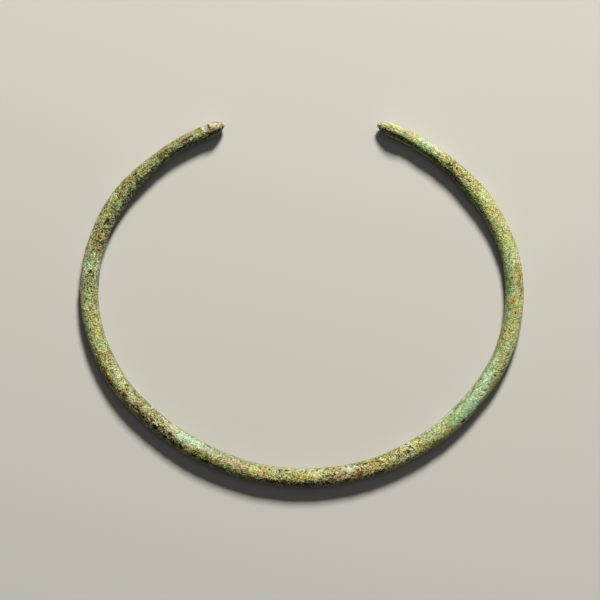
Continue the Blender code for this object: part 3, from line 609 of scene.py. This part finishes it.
def half_sizes(places, head_length, nose_rounding, snout_thickness, jaw_thickness):
    """Half the thickness and half the width of the half behind one head.

    Both ease through five stations, times the nose's rounding, plus a collar's bump and less a groove's.
    """
    stations = (0.0, JAW_SHARE * head_length, NECK_SHARE * head_length, ARM_TAPER_ENDS, ARM_TAPER_STARTS)
    thick = (snout_thickness, jaw_thickness, NECK_THICKNESS, ARM_THICKNESS, ROD_THICKNESS)
    wide = (SNOUT_WIDTH, JAW_WIDTH, NECK_WIDTH, ARM_WIDTH, ROD_THICKNESS)
    rounded = nose(places, nose_rounding)
    collar = COLLAR_HEIGHT * bump(places - head_length, COLLAR_SPREAD)
    groove = NECK_GROOVE_DEPTH * bump(places - head_length - 2 * COLLAR_SPREAD, COLLAR_SPREAD)
    half_thick = rounded * eased(places, stations, thick) / 2 + LEFT_BY_WEAR * (collar - groove)
    half_wide = rounded * eased(places, stations, wide) / 2 + collar - groove
    return half_thick, half_wide


def head_cutting(places, around, head_length, nose_rounding, snout_thickness, jaw_thickness):
    """Relief of one head: a lidded eye with a sunk pupil and a drawn mouth on both sides, and two nostrils.

    The lid is a bump by distance from the eye's rim, and the pupil and nostrils are bumps by distance from
    their middles. The mouth is one by angle round the head, and fades out along it.
    """
    arc = np.radians(around - EYE_ANGLE)[None, :] * jaw_thickness / 2
    from_eye = np.hypot(places[:, None] - EYE_AT, arc)
    eye = EYE_HEIGHT * bump(from_eye - EYE_RADIUS, PUPIL_RADIUS) - PUPIL_DEPTH * bump(from_eye, PUPIL_RADIUS)
    mouth_end = MOUTH_SHARE * head_length
    fading = eased(places, (0.0, mouth_end / 2, mouth_end), (1.0, 1.0, 0.0))
    reach = (nose(places, nose_rounding) * fading)[:, None]
    mouth = MOUTH_DEPTH * reach * bump(around - MOUTH_ANGLE, MOUTH_SPREAD)[None, :]
    arc = np.radians(around - NOSTRIL_ANGLE)[None, :] * snout_thickness / 2
    nostril = NOSTRIL_DEPTH * bump(np.hypot(places[:, None] - NOSTRIL_AT, arc), NOSTRIL_RADIUS)
    return eye - mouth - nostril


class Surface:
    """The bracelet's smooth surface: rings along the middle line, and points round each ring.

    A point is the middle line's place, plus outwards times half the thickness times the cosine of its angle,
    plus up times half the width times its sine, which is flattened a little above and below. Arms and heads
    are cut off beneath at the level of the rod's lower flat.
    """

    def __init__(self):
        # the rings, from both snouts to the middle of the run, and the angles round each
        line, run = middle_line()
        self.length = run[-1]
        right = ring_places(self.length, RIGHT_HEAD[1])
        left = ring_places(self.length, LEFT_HEAD[1])[-2::-1]
        ends = ((right, *RIGHT_HEAD), (left, *LEFT_HEAD))
        self.along = np.concatenate([right, self.length - left])
        self.angle = np.arange(COLUMNS) * 360.0 / COLUMNS
        turn = np.radians(self.angle)

        # sizes and cut relief of the two halves, the same on both sides of the middle line
        half_thick, half_wide = np.concatenate([half_sizes(*end) for end in ends], axis=1)
        around = np.abs((self.angle + 180.0) % 360.0 - 180.0)
        self.cutting = np.concatenate([head_cutting(places, around, *sizes) for places, *sizes in ends])

        # each ring's middle, the way outwards from it, and the sways
        middle = np.stack([np.interp(self.along, run, line[:, k]) for k in (0, 1)], axis=-1)
        ahead = np.stack([np.gradient(middle[:, k], self.along) for k in (0, 1)], axis=-1)
        ahead /= np.linalg.norm(ahead, axis=1)[:, None]
        outwards = np.stack([-ahead[:, 1], ahead[:, 0]], axis=-1)
        sway = sum(shift * bump(self.along - place, length) for place, length, shift in SWAYS)
        middle += outwards * sway[:, None]
        tips = line[[0, -1]] + outwards[[0, -1]] * sway[[0, -1], None]
        self.tips = np.column_stack([tips, [0.0, 0.0]])

        # the points, with their distance outwards and their height as a share of the half width
        level = np.sqrt(1.0 - (FLAT_WIDTH / ROD_THICKNESS) ** 2)
        up = np.sin(turn) * (1.0 - (1.0 - level) * np.sin(turn) ** FLATTENING_POWER)
        self.out = half_thick[:, None] * np.cos(turn)[None, :]
        self.points = np.empty(self.out.shape + (3,))
        self.points[..., :2] = middle[:, None, :] + outwards[:, None, :] * self.out[..., None]
        self.points[..., 2] = np.maximum(half_wide[:, None] * up[None, :], -level * ROD_THICKNESS / 2)
        self.upper = np.broadcast_to(np.sin(turn)[None, :], self.out.shape)

    def normals(self):
        """The cross product of the steps round a ring and along the run at every point, turned outwards."""
        round_ring = np.roll(self.points, -1, axis=1) - np.roll(self.points, 1, axis=1)
        along_run = np.gradient(self.points, axis=0)
        normal = np.cross(along_run, round_ring)
        normal /= np.linalg.norm(normal, axis=-1)[..., None]
        from_middle = self.points - self.points.mean(axis=1)[:, None, :]
        return normal * np.sign(np.sum(normal * from_middle, axis=-1).sum())


def noise(points, cell, seed):
    """Smooth noise from -1 to 1: seeded values on a turned cubic lattice, eased between its corners.

    The easing is 6 t^5 - 15 t^4 + 10 t^3 of the way t from one corner to the next.
    """
    draw = np.random.default_rng(SEED + seed)
    values = draw.uniform(-1.0, 1.0, (LATTICE, LATTICE, LATTICE))
    turned, _ = np.linalg.qr(draw.normal(size=(3, 3)))
    place = points @ turned / cell + draw.uniform(0.0, LATTICE, 3)
    corner = np.floor(place).astype(int)
    part = place - corner
    part = part**3 * (part * (part * 6.0 - 15.0) + 10.0)
    total = np.zeros(points.shape[:-1])
    for step in np.ndindex(2, 2, 2):
        weight = np.prod(np.where(step, part, 1.0 - part), axis=-1)
        at = (corner + step) % LATTICE
        total += weight * values[at[..., 0], at[..., 1], at[..., 2]]
    return total


def layered(points, layers, seed):
    """The sum of several noises, each with its size across and its height."""
    return sum(height * noise(points, cell, seed + k) for k, (cell, height) in enumerate(layers))


def within(distance, lobes, edge):
    """One near a middle and nought far away: a ramp of the edge's end, less the distance, plus its lobes."""
    end, slope, strength = edge
    return ramp(end - distance + strength * lobes, 0.0, slope)


def seen_mark(surface, mark, lobes):
    """A mark's weight on the rings near it: its strength inside its oval, where that is seen from above."""
    place, outwards, half_length, half_width, strength = mark
    rings = np.abs(surface.along - place) < MARK_REACH * half_length + REACH_MARGIN
    lengthways = (surface.along[rings, None] - place) / half_length
    distance = np.hypot(lengthways, (surface.out[rings] - outwards) / half_width)
    inside = within(distance, lobes[rings], MARK_EDGE)
    return rings, strength * inside * ramp(surface.upper[rings], *SIDE_FADE)


def stained(surface, marks, patch, start, seed):
    """How much of one corrosion product lies at each point: the most that any mark or stray patch gives it.

    Stray patches are a ramp of noise from where they start, and they fade on top, where the marks are.
    """
    lobes = layered(surface.points, EDGE_LOBES, seed)
    stray = noise(surface.points, patch, seed + len(EDGE_LOBES)) + STRAY_LOBES * lobes
    left = 1.0 - (1.0 - STRAY_ON_TOP) * ramp(surface.upper, *STRAY_FADE)
    amount = ramp(stray, start, start + STRAY_EDGE) * left
    for mark in marks:
        rings, weight = seen_mark(surface, mark, lobes)
        amount[rings] = np.maximum(amount[rings], weight)
    return amount


def pitted(surface):
    """Depth of the pits at each point, and how dark each point is in them: the most that any pit gives it.

    The depth follows a power of a placed pit's half width, or is a share of a scattered one's radius, times a
    weight that falls off from the pit's middle.
    """
    depth = np.zeros(surface.out.shape)
    dark = np.zeros(surface.out.shape)
    lobes = noise(surface.points, PIT_LOBES, PIT_LOBES_SEED)
    for mark in PITS:
        rings, weight = seen_mark(surface, mark, lobes)
        half_width = min(mark[2], mark[3])
        depth[rings] = np.maximum(depth[rings], weight * PIT_DEPTH * half_width**PIT_DEPTH_POWER)
        dark[rings] = np.maximum(dark[rings], weight)

    draw = np.random.default_rng(SEED)
    crowding = noise(surface.points, PIT_CROWDS, PIT_CROWDS_SEED)
    for _ in range(SMALL_PITS):
        ring = draw.integers(NOSE_RINGS, len(surface.along) - NOSE_RINGS)
        column = draw.integers(COLUMNS)
        radius = draw.uniform(*SMALL_PIT_RADII)
        strength = draw.uniform(*SMALL_PIT_STRENGTHS) * ramp(crowding[ring, column], *CROWD_STARTS)
        rings = np.abs(surface.along - surface.along[ring]) < SMALL_PIT_REACH * radius
        distance = np.linalg.norm(surface.points[rings] - surface.points[ring, column], axis=-1) / radius
        weight = strength * within(distance, lobes[rings], SMALL_PIT_EDGE)
        depth[rings] = np.maximum(depth[rings], SMALL_PIT_DEPTH * radius * weight)
        dark[rings] = np.maximum(dark[rings], SMALL_PIT_DARKNESS * weight)
    return depth, dark


def worn_hollows(surface):
    """Depth of the worn hollows at each point: rounded bumps by distance along and by angle round the rod."""
    depth = np.zeros(surface.out.shape)
    for place, angle, half_length, half_angle, deepest in WORN_HOLLOWS:
        turn = (surface.angle - angle + 180.0) % 360.0 - 180.0
        depth += deepest * bump(surface.along - place, half_length)[:, None] * bump(turn, half_angle)[None, :]
    return depth


def crust_relief(surface, amounts, grains, pit_depth):
    """How far each point stands off the smooth surface.

    It is the cutting of the heads plus hammering, grains and thick products, less pits, worn hollows and what
    is eaten back, at most the highest relief, and at the very tips only a share of that.
    """
    hammering = layered(surface.points, HAMMERING, HAMMERING_SEED)
    rough = grains * (1.0 + ROUGHENED_BY_CUPRITE * amounts["cuprite"])
    raised = sum(height * amounts[name] for name, height in RAISED_BY.items())
    relief = surface.cutting + hammering + rough + raised - pit_depth
    eaten_back = EATEN_BACK * ramp(surface.upper, *EATEN_BACK_FROM)
    relief = np.minimum(relief - worn_hollows(surface) - eaten_back, HIGHEST_RELIEF)
    from_tip = ramp(np.minimum(surface.along, surface.length - surface.along), 0.0, TIP_LENGTH)
    return relief * (RELIEF_AT_TIP + (1.0 - RELIEF_AT_TIP) * from_tip)[:, None]


def slow_tones(surface):
    """Lightness, warmth and graininess of each ring, eased from one station along the rod to the next."""
    stations, *tones = zip(*SLOW_TONES)
    return {name: eased(surface.along, stations, tone) for name, tone in zip(TONES, tones)}


def finish_fields(surface, amounts, grains, tones, pit_darkness):
    """What the finish reads at each point: products, pits, grain, and the slow changes over the rod."""
    fields = dict(amounts)
    fields["pit"] = pit_darkness
    fields["grain"] = np.clip(grains / GRAIN_HEIGHT, -1.0, 1.0)
    for name, tone in tones.items():
        fields[name] = np.repeat(tone[:, None], COLUMNS, axis=1)
    outward = np.cos(np.radians(surface.angle))
    smoothed = np.clip(amounts["chalk_and_painted_highlights"] + amounts["cream_and_painted_highlights"], 0.0, 1.0)
    fields["warmth"] += CROWN_WARMTH * ramp(outward, *CROWN)
    # painted shade: the inner side of the rod made darker
    fields["lightness"] *= 1.0 - INNER_SIDE_PAINTED_SHADE * ramp(-outward, *INNER_SIDE)
    fields["graininess"] *= 1.0 - SMOOTHED_BY_CHALK * smoothed
    return fields


def skin_faces(ring_count):
    """Four-sided faces between neighbouring rings, and a fan of triangles round each tip."""
    side = np.arange(COLUMNS)
    after = (side + 1) % COLUMNS
    ring = np.arange(ring_count - 1)[:, None] * COLUMNS
    next_ring = ring + COLUMNS
    quads = np.stack([ring + side, ring + after, next_ring + after, next_ring + side], axis=-1)
    first_tip = ring_count * COLUMNS
    last_ring = (ring_count - 1) * COLUMNS
    first_fan = np.stack([np.full(COLUMNS, first_tip), after, side], axis=-1)
    last_fan = np.stack([np.full(COLUMNS, first_tip + 1), last_ring + side, last_ring + after], axis=-1)
    return quads.reshape(-1, 4).tolist() + first_fan.tolist() + last_fan.tolist()


def in_frame(points, smooth):
    """Points in metres, moved so that the smooth surface sits in the middle of the solid's box.

    None is left below the ground.
    """
    low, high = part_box("bracelet")
    wanted = (np.array(low) + np.array(high)) / 2 / MILLIMETRE
    now = (smooth.reshape(-1, 3).min(axis=0) + smooth.reshape(-1, 3).max(axis=0)) / 2
    points = points + (wanted - now)
    points[:, 2] = np.maximum(points[:, 2], 0.0)
    return points * MILLIMETRE


def make_bracelet():
    """The worn bracelet: every point of the smooth surface moved along its normal by the crust's relief."""
    surface = Surface()
    amounts = {}
    for k, (name, (marks, patch, start, *_)) in enumerate(PRODUCTS.items()):
        amounts[name] = stained(surface, marks, patch, start, PRODUCTS_SEED + PRODUCT_SEEDS * k)
    pit_depth, pit_darkness = pitted(surface)
    tones = slow_tones(surface)
    grains = layered(surface.points, CRUST, CRUST_SEED) * tones["graininess"][:, None]
    relief = crust_relief(surface, amounts, grains, pit_depth)
    points = surface.points + surface.normals() * relief[..., None]
    points = np.concatenate([points.reshape(-1, 3), surface.tips])

    mesh = bpy.data.meshes.new("bracelet_surface")
    mesh.from_pydata(in_frame(points, surface.points).tolist(), [], skin_faces(len(surface.along)))
    for name, field in finish_fields(surface, amounts, grains, tones, pit_darkness).items():
        at_tips = [field[0].mean(), field[-1].mean()]
        values = np.concatenate([field.reshape(-1), at_tips]).astype(np.float32)
        mesh.attributes.new(name, "FLOAT", "POINT").data.foreach_set("value", values)
    mesh.shade_smooth()
    mesh.materials.append(corroded_bronze())
    bracelet = bpy.data.objects.new("worn_bracelet", mesh)
    bpy.context.scene.collection.objects.link(bracelet)
    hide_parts("bracelet")
    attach(bracelet, "root")


# the finishes


def add(tree, kind, inputs, give=None, **settings):
    """Adds a node and returns an output, by name or the first in use. An input is a value or an output."""
    node = tree.nodes.new("ShaderNode" + kind)
    for name, value in settings.items():
        setattr(node, name, value)
    for name, value in inputs.items():
        by_name = (socket for socket in node.inputs if socket.name == name and socket.enabled)
        socket = node.inputs[name] if isinstance(name, int) else next(by_name)
        if isinstance(value, bpy.types.NodeSocket):
            tree.links.new(value, socket)
        else:
            socket.default_value = value
    return next((socket for socket in node.outputs if socket.enabled and give in (None, socket.name)), None)


def per_metre(millimetres):
    """The scale of a noise whose patches are about this many millimetres across."""
    return 1.0 / (millimetres * MILLIMETRE)


def corroded_bronze():
    """Cast and hammered bronze after long burial: a matt crust of copper salts and oxides, and no bare metal.

    To the eye it is a granular olive and khaki ground, with paler and bluer patches of chalk and malachite,
    ochre and red stains, and dark pits, with painted shade on its shaded sides and painted highlights on its
    rims.
    """
    material = bpy.data.materials.new("corroded_bronze")
    material.use_nodes = True
    tree = material.node_tree
    tree.nodes.clear()
    place = add(tree, "TexCoord", {}, give="Object")

    # the ground: olive and khaki in slow patches, with sage and straw mottling in them
    warmth = add(tree, "Attribute", {}, give="Fac", attribute_name="warmth")
    grounds = {"Factor": warmth, "A": linear(GREEN_GROUND), "B": linear(WARM_GROUND)}
    colour = add(tree, "Mix", grounds, data_type="RGBA")
    for hex_colour, patch, start, full, most in MOTTLING:
        patches = add(tree, "TexNoise", {"Vector": place, "Scale": per_metre(patch), "Detail": 2.5})
        share = add(tree, "MapRange", {"Value": patches, "From Min": start, "From Max": full, "To Max": most})
        colour = add(tree, "Mix", {"Factor": share, "A": colour, "B": linear(hex_colour)}, data_type="RGBA")

    # crests and hollows: the grains of the mesh, and the sand between them
    relief = add(tree, "Attribute", {}, give="Fac", attribute_name="grain")
    graininess = add(tree, "Attribute", {}, give="Fac", attribute_name="graininess")
    sand = add(tree, "TexNoise", {"Vector": place, "Scale": per_metre(SAND), "Detail": 1.0})
    sand = add(tree, "MapRange", {"Value": sand, **SAND_HEIGHT})
    shade = add(tree, "Math", {0: relief, 1: sand}, operation="ADD")
    shade = add(tree, "Math", {0: shade, 1: graininess}, operation="MULTIPLY")

    # the corrosion products, on the crests or in the hollows, each with a ragged edge of its own
    # tenorite, atacamite and malachite bring painted shade, and chalk, cream and lime painted highlights
    for k, (name, (*_, hex_colour, most, lean)) in enumerate(PRODUCTS.items()):
        edge = per_metre(PRODUCT_EDGE + PRODUCT_EDGE_STEP * k)
        ragged = add(tree, "TexNoise", {"Vector": place, "Scale": edge, "Detail": 1.0})
        ragged = add(tree, "MapRange", {"Value": ragged, **PRODUCT_RAGGEDNESS})
        ragged = add(tree, "Math", {0: shade, 1: lean, 2: ragged}, operation="MULTIPLY_ADD")
        amount = add(tree, "Attribute", {}, give="Fac", attribute_name=name)
        amount = add(tree, "Math", {0: amount, 1: ragged}, operation="MULTIPLY")
        share = add(tree, "MapRange", {"Value": amount, **PRODUCT_COVER, "To Max": most})
        colour = add(tree, "Mix", {"Factor": share, "A": colour, "B": linear(hex_colour)}, data_type="RGBA")

    # the crests are paler, the hollows between them darker and stronger in colour, and pits are nearly black
    # partly painted shade in the hollows and painted highlight on the crests, partly the crust's own tone
    lightness = add(tree, "Attribute", {}, give="Fac", attribute_name="lightness")
    by_grain = add(tree, "MapRange", {"Value": shade, **GRAIN_LIGHTNESS_AND_PAINTED_SHADE})
    lightness = add(tree, "Math", {0: lightness, 1: by_grain}, operation="MULTIPLY")
    strength = add(tree, "MapRange", {"Value": shade, **GRAIN_COLOUR_STRENGTH_AND_PAINTED_SHADE})
    colour = add(tree, "HueSaturation", {"Color": colour, "Saturation": strength, "Value": lightness})
    pit = add(tree, "Attribute", {}, give="Fac", attribute_name="pit")
    pit = add(tree, "MapRange", {"Value": pit, **PIT_COVER})
    colour = add(tree, "Mix", {"Factor": pit, "A": colour, "B": linear(PIT_DARK)}, data_type="RGBA")

    # a dry, powdery surface: rough, hardly any gloss, and a faint bloom of dust
    worn = add(tree, "TexNoise", {"Vector": place, "Scale": per_metre(MATT_PATCH)})
    roughness = add(tree, "MapRange", {"Value": worn, **MATTNESS})
    dust = add(tree, "TexNoise", {"Vector": place, "Scale": per_metre(DUST), "Detail": 1.0})
    height = add(tree, "Math", {0: dust, 1: DUST_HEIGHT, 2: sand}, operation="MULTIPLY_ADD")
    bumps = {"Height": height, "Strength": SAND_BUMP_STRENGTH, "Distance": SAND_BUMP * MILLIMETRE}
    inputs = {
        "Base Color": colour,
        "Roughness": roughness,
        "Metallic": 0.0,
        "IOR": 1.5,
        "Specular IOR Level": 0.12,
        "Sheen Weight": 0.2,
        "Sheen Roughness": 0.45,
        "Sheen Tint": linear("#e2e8ea"),
        "Normal": add(tree, "Bump", bumps),
    }
    add(tree, "OutputMaterial", {"Surface": add(tree, "BsdfPrincipled", inputs)})
    return material


def painted_board():
    """Board painted matt white with a roller: even and pale, with next to no gloss."""
    material = bpy.data.materials.new("matt_white_board")
    material.use_nodes = True
    shader = material.node_tree.nodes["Principled BSDF"]
    shader.inputs["Base Color"].default_value = linear("#c0beb8")
    shader.inputs["Roughness"].default_value = 0.9
    shader.inputs["Specular IOR Level"].default_value = 0.2
    return material


# floor, light and camera


def make_floor():
    """One square of board, level with the underside of the bracelet."""
    half = FLOOR_WIDTH / 2 * MILLIMETRE
    corners = [(-half, -half, 0), (half, -half, 0), (half, half, 0), (-half, half, 0)]
    mesh = bpy.data.meshes.new("floor")
    mesh.from_pydata(corners, [], [(0, 1, 2, 3)])
    mesh.materials.append(painted_board())
    floor = bpy.data.objects.new("floor", mesh)
    bpy.context.scene.collection.objects.link(floor)


def add_light(name, azimuth, elevation, distance, size, power, hex_colour):
    """A square soft light at an azimuth and an elevation, turned to the bracelet."""
    light = bpy.data.lights.new(name, "AREA")
    light.size = size * MILLIMETRE
    light.energy = power
    light.color = linear(hex_colour)[:3]
    turn, rise = np.radians(azimuth), np.radians(elevation)
    away = Vector((np.cos(turn) * np.cos(rise), np.sin(turn) * np.cos(rise), np.sin(rise)))
    lamp = bpy.data.objects.new(name, light)
    lamp.location = away * distance * MILLIMETRE
    lamp.rotation_euler = away.to_track_quat("Z", "Y").to_euler()
    bpy.context.scene.collection.objects.link(lamp)


def make_lights():
    """The lights, and the faint even light of the room."""
    for light in LIGHTS:
        add_light(*light)
    world = bpy.data.worlds.new("studio")
    world.use_nodes = True
    background = world.node_tree.nodes["Background"]
    background.inputs["Color"].default_value = linear(ROOM_COLOUR)
    background.inputs["Strength"].default_value = ROOM_STRENGTH
    bpy.context.scene.world = world


def make_camera():
    """A camera straight above, whose lens is the sensor's width times the distance over the frame's width."""
    camera = bpy.data.cameras.new("camera")
    camera.sensor_width = SENSOR_WIDTH
    camera.lens = SENSOR_WIDTH * VIEW_DISTANCE / FRAME_WIDTH
    camera.clip_start = NEAREST_SEEN * MILLIMETRE
    holder = bpy.data.objects.new("camera", camera)
    height = VIEW_DISTANCE + ROD_THICKNESS / 2
    holder.location = Vector((VIEW_CENTRE[0], VIEW_CENTRE[1], height)) * MILLIMETRE
    bpy.context.scene.collection.objects.link(holder)
    bpy.context.scene.camera = holder
    bpy.context.scene.view_settings.view_transform = "Standard"


make_bracelet()
make_floor()
make_lights()
make_camera()
